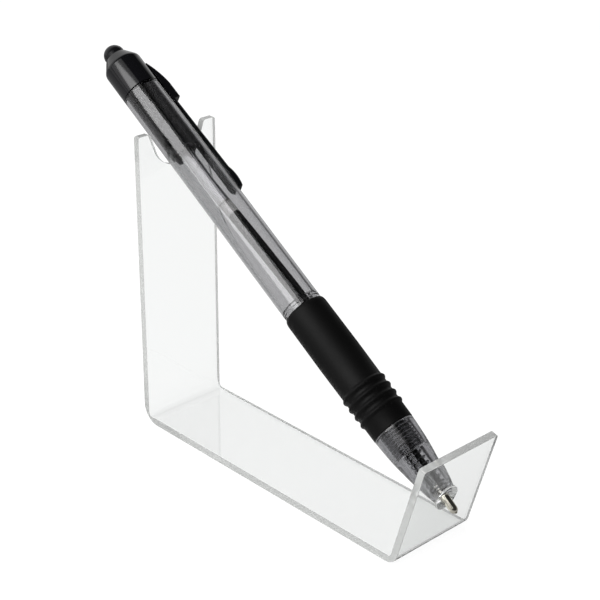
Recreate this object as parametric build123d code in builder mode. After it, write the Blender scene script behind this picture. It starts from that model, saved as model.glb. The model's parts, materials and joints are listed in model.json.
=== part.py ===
from build123d import *
from math import asin, atan2, cos, hypot, radians, sin, sqrt, tan
import os

# Pen stand: one bent clear sheet with a notch and a hole, and the retractable pen that lies in it.
# Millimetres and degrees. +X points to the front lip, +Z up, origin in the middle of the base's underside.
os.makedirs("parts", exist_ok=True)

# Sizes of the bent sheet
sheet_thickness = 1.8
stand_width = 23.5
stand_length = 87.6  # back face of the wall to the outer corner under the lip
wall_height = 76.0
lip_length = 28.1  # along the lip's outer face, from the outer corner
lip_angle = 74.2  # of the lip above the base
bend_radius = 4.2  # inside both bends
corner_radius = 0.6
notch_width = 16.4  # at the wall's top edge
notch_angle = 40.0  # between the notch's sides
notch_radius = 6.91  # round bottom of the notch
tip_hole_radius = 3.1
tip_hole_height = 14.9  # along the lip's outer face, from the outer corner

# Clearances
seat_gap = 0.1  # pen to notch and hole
fit_gap = 0.04  # pieces that are pushed or screwed together
running_gap = 0.1  # pieces that slide or turn

# Lengths along the pen, from the writing end to the button
point_reach = 4.8  # metal in front of the nose
nose_length = 18.3
grip_length = 34.7
barrel_length = 68.95  # from grip to cap
cap_length = 11.65
button_reach = 3.65  # dome above the cap, with the point latched out
point_hide = 0.2  # how far the retracted point lies inside the nose
press_depth = 1.5  # how far the button goes past its latched place

# Outside of the pen
barrel_radius = 4.85
barrel_wall = 0.85
grip_radius = 5.27
grip_wall = 1.02
grip_end_drop = 0.3
grip_end_length = 1.0
rib_count = 4
rib_pitch = 2.18
rib_width = 1.35
rib_top_width = 0.55
rib_height = 0.38
rib_start = 4.75  # first rib behind the grip's front end
nose_tip_radius = 2.4
nose_cone_angle = 15.1
nose_cone_length = 3.7
nose_swell_radius = 4.62
nose_swell_length = 11.5  # from the nose's front end
nose_back_radius = 5.1
collar_length = 0.5  # clear ring between the grip and the barrel's groove
groove_width = 0.4
groove_depth = 0.25
cap_crown_height = 3.4
cap_crown_rise = 0.57  # from the crown's foot to where its cone would meet the cap's side
cap_edge_radius = 1.4
cap_rim_width = 0.3
button_radius = 2.65

# Threaded joint of nose and barrel, and the spring's chamber in the nose
thread_radius = 3.8
thread_length = 6.8
bore_step_length = 2.0  # behind the grip, where the bore widens
spring_seat_depth = 2.4  # behind the nose's front end

# Refill
ball_radius = 0.4
ball_show = 0.3  # ball in front of its socket's rim
socket_wall = 0.2
point_radius = 1.15
point_nose_radius = 0.95
point_nose_length = 0.95
point_taper_length = 3.5
shank_length = 3.0  # of the point inside its holder
holder_radius = 1.5
flange_radius = 2.25
flange_thickness = 1.0
ink_channel_radius = 0.5
plug_length = 3.0
refill_radius = 1.55
refill_wall = 0.45
ink_length = 64.5
follower_length = 4.0

# Return spring, at its length with the point latched out
wire_radius = 0.18
coil_radius = 2.06
spring_length = 11.3
spring_half_turns = 11
wire_sides = 6
gap_samples = 12  # points to the half turn where the gap between turns is measured

# Click mechanism in the cap
guide_length = 20.4  # of the cap's guide inside the barrel
guide_wall = 0.95
guide_rib_count = 4
guide_rib_width = 0.8
guide_rib_height = 0.45
guide_rib_front = 5.7  # behind the guide's front end
guide_rib_length = 11.5
window_count = 6
window_width = 2.6
window_length = 2.9
window_turn = -20.0
rotor_front = 2.05  # behind the guide's front end
rotor_length = 3.9
rotor_rib_width = 0.6
tooth_count = 8
tooth_width = 1.4
tooth_height = 0.8
tooth_depth = 0.7
tooth_gap = 0.2  # between the tips of the two tooth rings
thrust_length = 11.9
thrust_key_length = 3.5
thrust_key_start = 1.2
stem_radius = 1.6
stem_length = 8.0
button_flange_height = 1.4
click_turn = 45.0  # of the rotor between latched and retracted

# Pocket clip
clip_turn = 84.0  # about the pen, from its upper side towards +Y
clip_width = 3.8
clip_end_radius = 1.7  # round free end, seen from above
clip_gap = 0.15  # to the barrel
clip_thickness = 0.95  # behind the fin's step
clip_swell = 0.4  # of the strip towards its end
clip_length = 38.9  # hinge to free end
clip_hinge_rise = 3.5  # behind the cap's front edge
clip_top_length = 3.3  # behind the hinge
clip_top_thickness = 0.35
clip_edge_bevel = 0.5
fin_length = 8.85  # hinge to the fin's step
fin_height = 1.45
fin_crest_length = 4.6
fin_bulge = 0.35  # of its back above a straight slope
bump_length = 6.7
bump_height = 0.45
pad_length = 3.4
clip_end_bevel = 0.6
bead_radius = 0.8
bead_depth = 0.55  # below the cap's surface
neck_width = 0.9


# Where the pen lies: its axis runs through the lip's hole and clears the front edge of the notch's bottom
lip_along = Vector(cos(radians(lip_angle)), 0, sin(radians(lip_angle)))
lip_outward = Vector(sin(radians(lip_angle)), 0, -cos(radians(lip_angle)))
front_corner = Vector(stand_length / 2, 0, 0)
hole_inside = front_corner + lip_along * tip_hole_height - lip_outward * sheet_thickness
notch_half_angle = radians(notch_angle / 2)
notch_apex_depth = notch_width / 2 / tan(notch_half_angle)
notch_depth = notch_apex_depth - notch_radius * (1 / sin(notch_half_angle) - 1)
wall_front = sheet_thickness - stand_length / 2
seat_run = hole_inside.X - wall_front
seat_rise = wall_height - notch_depth - hole_inside.Z
pen_slope = atan2(seat_rise, seat_run) + asin((barrel_radius + seat_gap) / hypot(seat_run, seat_rise))
pen_direction = Vector(-cos(pen_slope), 0, sin(pen_slope))
pen_up = Vector(sin(pen_slope), 0, cos(pen_slope))
across = Vector(0, 1, 0)

# The nose's cone stops against the hole's inner rim, which the pen crosses at a tilt
rim_tilt = pen_slope - radians(90 - lip_angle)
cone_slope = tan(radians(nose_cone_angle))
rim_station = point_reach + (tip_hole_radius * cos(rim_tilt) - seat_gap - nose_tip_radius) / cone_slope
pen_tip = hole_inside - pen_direction * (rim_station - tip_hole_radius * sin(rim_tilt))
pen_axis = Axis(pen_tip, pen_direction)

# Stations along the pen
nose_front = point_reach
nose_back = nose_front + nose_length
grip_back = nose_back + grip_length
barrel_back = grip_back + barrel_length
cap_back = barrel_back + cap_length
button_back = cap_back + button_reach
guide_front = barrel_back - guide_length
click_travel = point_reach + point_hide
rotor_base = guide_front + rotor_front
rotor_top = rotor_base + rotor_length
thrust_front = rotor_top + 2 * tooth_height + tooth_gap
thrust_back = thrust_front + thrust_length
button_stop = thrust_back + button_flange_height + click_travel + running_gap

# Radii that fit each other
core_radius = grip_radius - grip_wall
barrel_bore = barrel_radius - barrel_wall
guide_radius = barrel_bore - fit_gap
guide_bore = guide_radius - guide_wall
rib_crest = guide_bore - guide_rib_height
moving_radius = rib_crest - running_gap
sliding_radius = guide_bore - running_gap
refill_bore = refill_radius - refill_wall
spring_room = coil_radius + wire_radius + 2 * running_gap
sleeve_bore = flange_radius + 5 * running_gap


def radial(turn):
    """Direction square to the pen, turned about it from its upper side towards +Y."""
    return pen_up * cos(radians(turn)) + across * sin(radians(turn))


def pen_point(station, radius, turn):
    """A point by its distance along the pen, its distance from the axis and its turn about it."""
    return pen_tip + pen_direction * station + radial(turn) * radius


def lengthwise(turn=0.0):
    """Plane through the pen's axis: local X is the radius, local Y the station."""
    return Plane(origin=pen_tip, x_dir=radial(turn), z_dir=radial(turn).cross(pen_direction))


def flank(turn, radius):
    """Plane that faces outwards from the pen: local X runs round it, local Y is the station."""
    outward = radial(turn)
    return Plane(origin=pen_tip + outward * radius, x_dir=pen_direction.cross(outward), z_dir=outward)


def flanks(count, radius, first_turn=0.0):
    """Such planes, evenly spaced round the pen."""
    return [flank(first_turn + index * 360 / count, radius) for index in range(count)]


# Bent sheet
with BuildPart() as acrylic_stand:
    with BuildSketch(Plane.XZ):
        with BuildLine():
            FilletPolyline(
                (-stand_length / 2, wall_height),
                (-stand_length / 2, 0),
                (front_corner.X, 0),
                (front_corner.X + lip_along.X * lip_length, lip_along.Z * lip_length),
                radius=bend_radius + sheet_thickness,
            )
            offset(amount=sheet_thickness, side=Side.LEFT)
        make_face()
    extrude(amount=stand_width / 2, both=True)
    with BuildSketch(Plane.YZ.offset(wall_front)):
        with BuildLine():
            Polyline(
                (-notch_width / 2, wall_height + sheet_thickness),
                (-notch_width / 2, wall_height),
                (0, wall_height - notch_apex_depth),
                (notch_width / 2, wall_height),
                (notch_width / 2, wall_height + sheet_thickness),
                close=True,
            )
        make_face()
        fillet(vertices().sort_by(Axis.Y)[0], notch_radius)
    extrude(amount=2 * sheet_thickness, both=True, mode=Mode.SUBTRACT)
    with Locations(Plane(origin=hole_inside, x_dir=across, z_dir=lip_outward)):
        Hole(tip_hole_radius, depth=2 * sheet_thickness)
    fillet(edges().filter_by(Axis.X).group_by(Axis.Z)[-1], corner_radius)
    fillet(edges().filter_by(Axis(front_corner, lip_outward)).group_by(Axis.Z)[-1], corner_radius)
acrylic_stand.part.label = "acrylic_stand"
export_step(acrylic_stand.part, "parts/acrylic_stand.step")

# Clear nose: a cone that flattens towards the grip, bored for the point, the spring and the thread
spring_seat = nose_front + spring_seat_depth
socket_front = nose_back - thread_length
with BuildPart() as nose_cone:
    with BuildSketch(lengthwise()):
        with BuildLine():
            Polyline(
                (nose_tip_radius, nose_front),
                (nose_tip_radius + nose_cone_length * cone_slope, nose_front + nose_cone_length),
                (nose_swell_radius, nose_front + nose_swell_length),
                (nose_back_radius, nose_back),
                (thread_radius, nose_back),
                (thread_radius, socket_front),
                (spring_room, socket_front),
                (spring_room, spring_seat),
                (point_radius + running_gap, spring_seat),
                (point_radius + running_gap, nose_front),
                close=True,
            )
        make_face()
    revolve(axis=pen_axis)
nose_cone.part.label = "nose_cone"
export_step(nose_cone.part, "parts/nose_cone.step")

# Clear barrel: threaded spigot, core under the grip, open tube behind it
bore_step = grip_back + bore_step_length
groove_front = grip_back + collar_length
with BuildPart() as barrel:
    with BuildSketch(lengthwise()):
        with BuildLine():
            Polyline(
                (sleeve_bore, socket_front + fit_gap),
                (thread_radius - fit_gap, socket_front + fit_gap),
                (thread_radius - fit_gap, nose_back),
                (core_radius, nose_back),
                (core_radius, grip_back),
                (barrel_radius, grip_back),
                (barrel_radius, groove_front),
                (barrel_radius - groove_depth, groove_front),
                (barrel_radius - groove_depth, groove_front + groove_width),
                (barrel_radius, groove_front + groove_width),
                (barrel_radius, barrel_back),
                (barrel_bore, barrel_back),
                (barrel_bore, bore_step),
                (sleeve_bore, bore_step),
                close=True,
            )
        make_face()
    revolve(axis=pen_axis)
barrel.part.label = "barrel"
export_step(barrel.part, "parts/barrel.step")

# Rubber grip with ribs near the nose
with BuildPart() as grip_sleeve:
    with BuildSketch(lengthwise()):
        with BuildLine():
            Polyline(
                (core_radius + fit_gap, nose_back),
                (grip_radius, nose_back),
                (grip_radius, grip_back - grip_end_length),
                (grip_radius - grip_end_drop, grip_back),
                (core_radius + fit_gap, grip_back),
                close=True,
            )
        make_face()
        for index in range(rib_count):
            rib_middle = nose_back + rib_start + index * rib_pitch
            with BuildLine():
                Polyline(
                    (core_radius + fit_gap, rib_middle - rib_width / 2),
                    (grip_radius, rib_middle - rib_width / 2),
                    (grip_radius + rib_height, rib_middle - rib_top_width / 2),
                    (grip_radius + rib_height, rib_middle + rib_top_width / 2),
                    (grip_radius, rib_middle + rib_width / 2),
                    (core_radius + fit_gap, rib_middle + rib_width / 2),
                    close=True,
                )
            make_face()
    revolve(axis=pen_axis)
grip_sleeve.part.label = "grip_sleeve"
export_step(grip_sleeve.part, "parts/grip_sleeve.step")

# Metal point with a socket for the ball
flange_front = spring_seat + spring_length
holder_front = spring_seat + press_depth + 3 * running_gap
nose_taper_front = ball_show + point_nose_length
with BuildPart() as writing_point:
    with BuildSketch(lengthwise()):
        with BuildLine():
            Polyline(
                (0, 2 * ball_radius + fit_gap),
                (ball_radius + fit_gap, 2 * ball_radius + fit_gap),
                (ball_radius + fit_gap, ball_show),
                (ball_radius + socket_wall, ball_show),
                (point_nose_radius, nose_taper_front),
                (point_radius, nose_taper_front + point_taper_length),
                (point_radius, holder_front + shank_length),
                (0, holder_front + shank_length),
                close=True,
            )
        make_face()
    revolve(axis=pen_axis)
writing_point.part.label = "writing_point"
export_step(writing_point.part, "parts/writing_point.step")

with BuildPart() as writing_ball:
    with BuildSketch(lengthwise()):
        with Locations((0, ball_radius)):
            Circle(ball_radius)
            Rectangle(ball_radius, 2 * ball_radius, align=(Align.MAX, Align.CENTER), mode=Mode.SUBTRACT)
    revolve(axis=pen_axis)
writing_ball.part.label = "writing_ball"
export_step(writing_ball.part, "parts/writing_ball.step")

# Holder: takes the point's shank in front, carries the spring's flange and plugs the ink tube
tube_front = flange_front + flange_thickness
ink_front = tube_front + plug_length
with BuildPart() as tip_holder:
    with BuildSketch(lengthwise()):
        with BuildLine():
            Polyline(
                (point_radius + fit_gap, holder_front),
                (holder_radius, holder_front),
                (holder_radius, flange_front),
                (flange_radius, flange_front),
                (flange_radius, tube_front),
                (refill_bore - fit_gap, tube_front),
                (refill_bore - fit_gap, ink_front),
                (ink_channel_radius, ink_front),
                (ink_channel_radius, holder_front + shank_length),
                (point_radius + fit_gap, holder_front + shank_length),
                close=True,
            )
        make_face()
    revolve(axis=pen_axis)
tip_holder.part.label = "tip_holder"
export_step(tip_holder.part, "parts/tip_holder.step")


def pen_bush(inner, outer, front, back):
    """Lengthwise profile of a straight tube, or of a rod where the inner radius is zero."""
    with BuildSketch(lengthwise()) as profile:
        with Locations((inner, front)):
            Rectangle(outer - inner, back - front, align=(Align.MIN, Align.MIN))
    return profile.sketch


# Ink tube, the ink in it and the grease behind the ink
ink_back = ink_front + ink_length
with BuildPart() as refill_tube:
    revolve(pen_bush(refill_bore, refill_radius, tube_front, rotor_base), axis=pen_axis)
refill_tube.part.label = "refill_tube"
export_step(refill_tube.part, "parts/refill_tube.step")

with BuildPart() as ink_column:
    revolve(pen_bush(0, refill_bore - fit_gap, ink_front, ink_back), axis=pen_axis)
ink_column.part.label = "ink_column"
export_step(ink_column.part, "parts/ink_column.step")

with BuildPart() as ink_follower:
    revolve(pen_bush(0, refill_bore - fit_gap, ink_back, ink_back + follower_length), axis=pen_axis)
ink_follower.part.label = "ink_follower"
export_step(ink_follower.part, "parts/ink_follower.step")

# Return spring: one wire, two tangent arcs to each half turn, straight at both ends
wire_gap = 2 * fit_gap
coil_front = spring_seat + wire_radius + wire_gap
coil_back = flange_front - wire_radius - wire_gap
half_rise = (coil_back - coil_front) / spring_half_turns
half_run = radians(180) * coil_radius


def coil_point(half_turns):
    return pen_point(coil_front + half_rise * half_turns, coil_radius, 180 * half_turns)


def coil_tangent(half_turns):
    return (radial(180 * half_turns + 90) * half_run + pen_direction * half_rise).normalized()


def arc_joint(start, start_tangent, end, end_tangent):
    """Where two arcs of equal tangent length meet between two points with given tangents."""
    span = end - start
    lean = span.dot(start_tangent + end_tangent)
    bend = 2 * (1 - start_tangent.dot(end_tangent))
    reach = (sqrt(lean**2 + bend * span.dot(span)) - lean) / bend
    return (start + end + (start_tangent - end_tangent) * reach) * 0.5


with BuildPart() as return_spring:
    with BuildLine() as wire:
        Line(coil_point(0) - coil_tangent(0) * 2 * wire_radius, coil_point(0))
        for index in range(spring_half_turns):
            ends = (coil_point(index), coil_tangent(index), coil_point(index + 1), coil_tangent(index + 1))
            middle = arc_joint(*ends)
            first = TangentArc(ends[0], middle, tangent=ends[1])
            TangentArc(middle, ends[2], tangent=first % 1)
        last_tangent = coil_tangent(spring_half_turns)
        Line(coil_point(spring_half_turns), coil_point(spring_half_turns) + last_tangent * 2 * wire_radius)
    with BuildSketch(Plane(origin=wire.line @ 0, z_dir=wire.line % 0)):
        RegularPolygon(wire_radius, wire_sides)
    sweep(path=wire.line)
return_spring.part.label = "return_spring"
export_step(return_spring.part, "parts/return_spring.step")

# Least gap between points at least half a turn apart
samples = [coil_point(index / gap_samples) for index in range(gap_samples * spring_half_turns + 1)]
turn_gaps = [
    (samples[late] - samples[early]).length - 2 * wire_radius
    for early in range(len(samples))
    for late in range(early + gap_samples, len(samples))
]
print("least gap in the spring", round(min(turn_gaps), 3))

# Black cap: outer cap, guide tube in the barrel, latch ribs with sloped ends, windows, the clip's groove
crown_corner = cap_back - cap_crown_height + cap_crown_rise
rib_front = guide_front + guide_rib_front
ramp_slope = click_travel / (radians(click_turn) * moving_radius)
clip_hinge = barrel_back + clip_hinge_rise
bead_station = (barrel_radius - bead_depth, clip_hinge)
with BuildPart() as top_cap:
    with BuildSketch(lengthwise()):
        with BuildLine():
            Polyline(
                (guide_radius, guide_front),
                (guide_radius, barrel_back),
                (barrel_radius, barrel_back),
                (barrel_radius, crown_corner),
                (button_radius + running_gap + cap_rim_width, cap_back),
                (button_radius + running_gap, cap_back),
                (button_radius + running_gap, button_stop),
                (guide_bore, button_stop),
                (guide_bore, guide_front),
                close=True,
            )
        make_face()
        fillet(vertices().filter_by_position(Axis.Y, crown_corner, crown_corner), cap_edge_radius)
    revolve(axis=pen_axis)
    with BuildSketch(*flanks(guide_rib_count, guide_bore + guide_wall / 2)):
        with BuildLine():
            Polyline(
                (-guide_rib_width / 2, rib_front),
                (guide_rib_width / 2, rib_front + ramp_slope * guide_rib_width),
                (guide_rib_width / 2, rib_front + guide_rib_length),
                (-guide_rib_width / 2, rib_front + guide_rib_length),
                close=True,
            )
        make_face()
    extrude(amount=-guide_rib_height - guide_wall / 2)
    with BuildSketch(*flanks(window_count, guide_radius + guide_wall, window_turn)):
        with Locations((0, guide_front)):
            Rectangle(window_width, 2 * window_length)
    extrude(amount=-3 * guide_wall, mode=Mode.SUBTRACT)
    with BuildSketch(lengthwise(clip_turn)):
        with Locations(bead_station):
            Circle(bead_radius + running_gap)
    extrude(amount=clip_width / 2 + running_gap, both=True, mode=Mode.SUBTRACT)
top_cap.part.label = "top_cap"
export_step(top_cap.part, "parts/top_cap.step")

# Rotor: core with a ring of teeth, and ribs whose sloped tops latch under the guide's ribs
rotor_rib_top = rib_front - running_gap * 2
rotor_rib_shift = ramp_slope * (guide_rib_width - rotor_rib_width) / 2
with BuildPart() as cam_rotor:
    revolve(pen_bush(0, moving_radius, rotor_base, rotor_top), axis=pen_axis)
    with BuildSketch(*flanks(guide_rib_count, sliding_radius)):
        with BuildLine():
            Polyline(
                (-rotor_rib_width / 2, rotor_base),
                (rotor_rib_width / 2, rotor_base),
                (rotor_rib_width / 2, rotor_rib_top + rotor_rib_shift + ramp_slope * rotor_rib_width),
                (-rotor_rib_width / 2, rotor_rib_top + rotor_rib_shift),
                close=True,
            )
        make_face()
    extrude(amount=moving_radius - sliding_radius - fit_gap)
    with BuildSketch(*flanks(tooth_count, moving_radius - running_gap * 2)):
        with BuildLine():
            Polyline(
                (-tooth_width / 2, rotor_top),
                (tooth_width / 2, rotor_top),
                (0, rotor_top + tooth_height),
                close=True,
            )
        make_face()
    extrude(amount=-tooth_depth)
cam_rotor.part.label = "cam_rotor"
export_step(cam_rotor.part, "parts/cam_rotor.step")

# Thrust tube: teeth that meet the rotor's, keys that run between the guide's ribs, stem for the button
key_front = thrust_front + thrust_key_start
with BuildPart() as thrust_tube:
    with BuildSketch(lengthwise()):
        with BuildLine():
            Polyline(
                (0, thrust_front),
                (moving_radius, thrust_front),
                (moving_radius, thrust_back),
                (stem_radius, thrust_back),
                (stem_radius, thrust_back + stem_length),
                (0, thrust_back + stem_length),
                close=True,
            )
        make_face()
    revolve(axis=pen_axis)
    with BuildSketch(*flanks(tooth_count, moving_radius - running_gap * 2, 180 / tooth_count)):
        with BuildLine():
            Polyline(
                (-tooth_width / 2, thrust_front),
                (0, thrust_front - tooth_height),
                (tooth_width / 2, thrust_front),
                close=True,
            )
        make_face()
    extrude(amount=-tooth_depth)
    with BuildSketch(*flanks(guide_rib_count, sliding_radius, 180 / guide_rib_count)):
        with Locations((0, key_front)):
            Rectangle(guide_rib_width, thrust_key_length, align=(Align.CENTER, Align.MIN))
    extrude(amount=moving_radius / 2 - sliding_radius)
thrust_tube.part.label = "thrust_tube"
export_step(thrust_tube.part, "parts/thrust_tube.step")

# Button: dome and skirt, with a flange that stops under the cap
dome_start = button_back - button_radius
with BuildPart() as push_button:
    with BuildSketch(lengthwise()):
        with BuildLine():
            Polyline(
                (0, thrust_back + stem_length + fit_gap),
                (stem_radius + fit_gap, thrust_back + stem_length + fit_gap),
                (stem_radius + fit_gap, thrust_back),
                (sliding_radius, thrust_back),
                (sliding_radius, thrust_back + button_flange_height),
                (button_radius, thrust_back + button_flange_height),
                (button_radius, dome_start),
            )
            CenterArc((0, dome_start), button_radius, 0, 90)
            Line((0, button_back), (0, thrust_back + stem_length + fit_gap))
        make_face()
    revolve(axis=pen_axis)
push_button.part.label = "push_button"
export_step(push_button.part, "parts/push_button.step")

# Clip: strip with a raised fin, a swollen end with a pad, and a bead that turns in the cap's groove
strip_inner = barrel_radius + clip_gap
strip_outer = strip_inner + clip_thickness
clip_front = clip_hinge - clip_length
clip_back = clip_hinge + clip_top_length
fin_front = clip_hinge - fin_length
fin_crest = fin_front + fin_crest_length
bump_back = clip_front + bump_length
with BuildPart() as clip:
    with BuildSketch(lengthwise(clip_turn)):
        with BuildLine():
            Polyline(
                (strip_outer + fin_height, fin_crest),
                (strip_outer + fin_height, fin_front),
                (strip_outer, fin_front),
                (strip_outer + clip_swell, bump_back),
            )
            ThreePointArc(
                (strip_outer + clip_swell, bump_back),
                (strip_outer + clip_swell + bump_height, (bump_back + clip_front) / 2),
                (strip_outer + clip_swell, clip_front + clip_end_bevel),
            )
            Polyline(
                (strip_outer + clip_swell, clip_front + clip_end_bevel),
                (strip_outer + clip_swell - clip_end_bevel, clip_front),
                (barrel_radius + running_gap + clip_end_bevel, clip_front),
            )
            ThreePointArc(
                (barrel_radius + running_gap + clip_end_bevel, clip_front),
                (barrel_radius + running_gap, clip_front + pad_length / 2),
                (strip_inner, clip_front + pad_length),
            )
            Polyline(
                (strip_inner, clip_front + pad_length),
                (strip_inner, clip_back),
                (strip_inner + clip_top_thickness, clip_back),
            )
            ThreePointArc(
                (strip_inner + clip_top_thickness, clip_back),
                (
                    (strip_inner + clip_top_thickness + strip_outer + fin_height) / 2 + fin_bulge,
                    (clip_back + fin_crest) / 2,
                ),
                (strip_outer + fin_height, fin_crest),
            )
        make_face()
        with Locations(bead_station):
            Circle(bead_radius)
            Rectangle(strip_outer - bead_station[0], neck_width, align=(Align.MIN, Align.CENTER))
    extrude(amount=clip_width / 2, both=True)
    side_faces = faces().filter_by(Axis(pen_tip, radial(clip_turn + 90)))
    outer_edges = side_faces.edges().filter_by(
        lambda edge: (edge @ 0.5 - pen_tip).dot(radial(clip_turn)) > strip_outer - clip_end_bevel
    )
    chamfer(outer_edges, clip_edge_bevel)
    with BuildSketch(flank(clip_turn, 0)):
        with Locations((0, clip_front)):
            Rectangle(clip_width, clip_back - clip_front, align=(Align.CENTER, Align.MIN))
        fillet(vertices().group_by(Axis.Y)[0], clip_end_radius)
    extrude(amount=2 * strip_outer, mode=Mode.INTERSECT)
clip.part.label = "clip"
export_step(clip.part, "parts/clip.step")
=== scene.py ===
import json
from math import asin, atan, cos, degrees, pi, radians, sin, tan

import bpy
from mathutils import Matrix, Vector


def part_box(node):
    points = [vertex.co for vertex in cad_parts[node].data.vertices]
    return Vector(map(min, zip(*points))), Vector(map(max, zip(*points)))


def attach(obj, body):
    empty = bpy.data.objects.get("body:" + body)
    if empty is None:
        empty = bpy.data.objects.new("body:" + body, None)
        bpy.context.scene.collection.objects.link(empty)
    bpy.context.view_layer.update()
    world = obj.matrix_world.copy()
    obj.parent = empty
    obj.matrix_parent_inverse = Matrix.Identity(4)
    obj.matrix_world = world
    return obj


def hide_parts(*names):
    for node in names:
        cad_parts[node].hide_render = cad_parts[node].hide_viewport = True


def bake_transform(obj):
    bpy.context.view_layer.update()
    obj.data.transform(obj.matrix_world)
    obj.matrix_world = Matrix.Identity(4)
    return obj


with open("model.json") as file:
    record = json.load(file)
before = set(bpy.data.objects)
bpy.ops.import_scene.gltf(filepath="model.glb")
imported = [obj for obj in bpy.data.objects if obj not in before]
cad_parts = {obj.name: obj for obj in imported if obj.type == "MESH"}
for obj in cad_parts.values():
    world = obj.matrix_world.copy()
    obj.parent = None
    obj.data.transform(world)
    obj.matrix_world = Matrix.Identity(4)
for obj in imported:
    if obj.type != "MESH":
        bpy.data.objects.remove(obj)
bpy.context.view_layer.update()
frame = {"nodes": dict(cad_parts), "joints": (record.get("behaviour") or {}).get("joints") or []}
scene = bpy.context.scene
scene.view_settings.view_transform = "Standard"
scene.cycles.max_bounces = 32
scene.cycles.glossy_bounces = 24
scene.cycles.transmission_bounces = 24

# Lengths are millimetres, turned into metres by MM. Angles are degrees.
MM = 0.001

# Points nearer than a weld gap become one, and angles tell sharp edges from smooth ones
weld_gap = 0.0001
solid_weld_gap = 0.001
crease_angle = 35.0
smooth_angle = 60.0
flat_angle = 2.0
edge_steps = 3
turned_sides = 96
rod_sides = 64

# Cosines that sort faces by the way they look, and what counts as near
squarely = 0.9
outward_least = 0.1
inward_most = -0.5
near = 0.1

# Bent sheet
sheet_thickness = 1.8
back_bend_radius = 4.8
front_bend_radius = 3.8
inner_bend_radius = 0.9
bend_steps = 20
inner_bend_steps = 8
# How far a face of the front bend looks forward and down to be tinted darker
underside_forward = 0.4
underside_down = 0.485
lip_angle = 74.2
lip_length = 28.1
sheet_corner = 0.6
corner_steps = 4
sheet_edge = 0.12
sheet_edge_steps = 2
sheet_crease = 25.0
notch_width = 16.4
notch_angle = 40.0
notch_radius = 6.91
notch_steps = 64
tip_hole_radius = 3.1
tip_hole_height = 14.9
tip_hole_sides = 128

# Barrel
barrel_radius = 4.85
barrel_bore = 4.0
barrel_edge = 0.06
collar_length = 0.5
groove_width = 0.4
groove_depth = 0.25
fit_gap = 0.04
sleeve_bore = 2.75
bore_step_length = 2.0

# Thread on the spigot. Its form gives shares of the pitch and drops from the outer radius.
thread_radius = 3.8
thread_depth = 0.4
thread_gap = 0.06
thread_start = 0.35
thread_pitch = 0.86
thread_turns = 7
thread_form = ((0.0, thread_depth), (0.3, thread_gap), (0.5, thread_gap), (0.8, thread_depth))

# Grip
grip_front_radius = 5.15
grip_middle_radius = 5.35
grip_back_radius = 5.3
grip_swell_length = 21.0
grip_core = 4.29
grip_front_round = 0.3
grip_round_steps = 5
shoulder_length = 1.3
shoulder_drop = 0.38
shoulder_steps = 8
rib_count = 4
rib_pitch = 2.18
rib_width = 1.6
rib_height = 0.43
rib_start = 4.75
rib_steps = 12
rib_power = 1.5

# Nose
nose_tip_radius = 2.4
nose_cone_radius = 3.398
nose_cone_length = 3.7
nose_swell_radius = 4.62
nose_swell_length = 11.5
nose_back_radius = 5.1
nose_steps = 8
nose_edge = 0.1
point_bore = 1.25
spring_room = 2.44
spring_seat_depth = 2.4

# Cap and its guide
guide_radius = 3.96
guide_bore = 3.01
window_count = 6
window_width = 2.6
window_length = 1.3
window_turn = -20.0
window_steps = 16
window_reach = 1.0
seam_width = 0.25
seam_depth = 0.3
crown_rise = 2.83
crown_rim_radius = 3.05
crown_edge = 1.4
crown_steps = 10
cap_edge = 0.08

# Button
button_hole = 2.75
button_radius = 2.65
dome_drop = 0.01
dome_steps = 24
stem_bore = 1.64
stem_depth = 8.0
button_flange_radius = 2.91
button_flange_height = 1.4
button_stop_gap = 5.1

# Clip
clip_turn = 84.0
clip_hinge_rise = 3.5
clip_width = 3.8
clip_shorter = 0.85
clip_edge = 0.18
clip_crease = 30.0
bead_radius = 0.8
bead_depth = 0.55
bead_gap = 0.1

# Point, ball and holder
point_radius = 1.15
point_nose_radius = 0.95
point_nose_length = 0.95
point_taper_length = 3.5
point_steps = 10
point_edge = 0.05
mouth_depth = 0.12
mouth_gap = 0.08
rim_gap = 0.12
ball_show = 0.3
ball_pole = 86.0
ball_steps = 30
ball_sides = 48
holder_radius = 1.5
holder_edge = 0.12
flange_radius = 2.25
flange_thickness = 1.0

# Ink tube, ink and grease
refill_radius = 1.55
refill_bore = 1.1
tube_edge = 0.15
tube_steps = 30
tube_sides = 64
ink_gap = 0.04
ink_wetting = 0.02
ink_hollow = 0.55
ink_channel = 0.5
hollow_steps = 8
bow_turn = 49.0
bow_reach = 6

# Return spring, with closed turns at both ends
wire_radius = 0.18
wire_smoothness = 3
wire_order = 4
coil_radius = 2.06
coil_turns = 10
closed_turns = 1.5
closed_spread = 1.15
points_to_turn = 16

# Where the pen lies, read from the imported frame: its axis, and its front end from the writing ball
joints = {row["name"]: row for row in frame["joints"]}
pen_axis = Vector(joints["button_press"]["axis"]).normalized()
across = Vector((0, 1, 0))
pen_up = across.cross(pen_axis)
ball_low, ball_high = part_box("writing_ball")
ball_radius = (ball_high.z - ball_low.z) / 2 / MM
pen_tip = (ball_low + ball_high) / 2 - pen_axis * (ball_radius * MM)
pen_place = Matrix((pen_up, across, pen_axis)).transposed().to_4x4()
pen_place.translation = pen_tip


def station_of(place):
    """How far along the pen a point lies, in millimetres from the writing end."""
    return (place - pen_tip).dot(pen_axis) / MM


def span(node):
    """The stations where a CAD node starts and ends."""
    along = [station_of(vertex.co) for vertex in frame["nodes"][node].data.vertices]
    return min(along), max(along)


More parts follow.
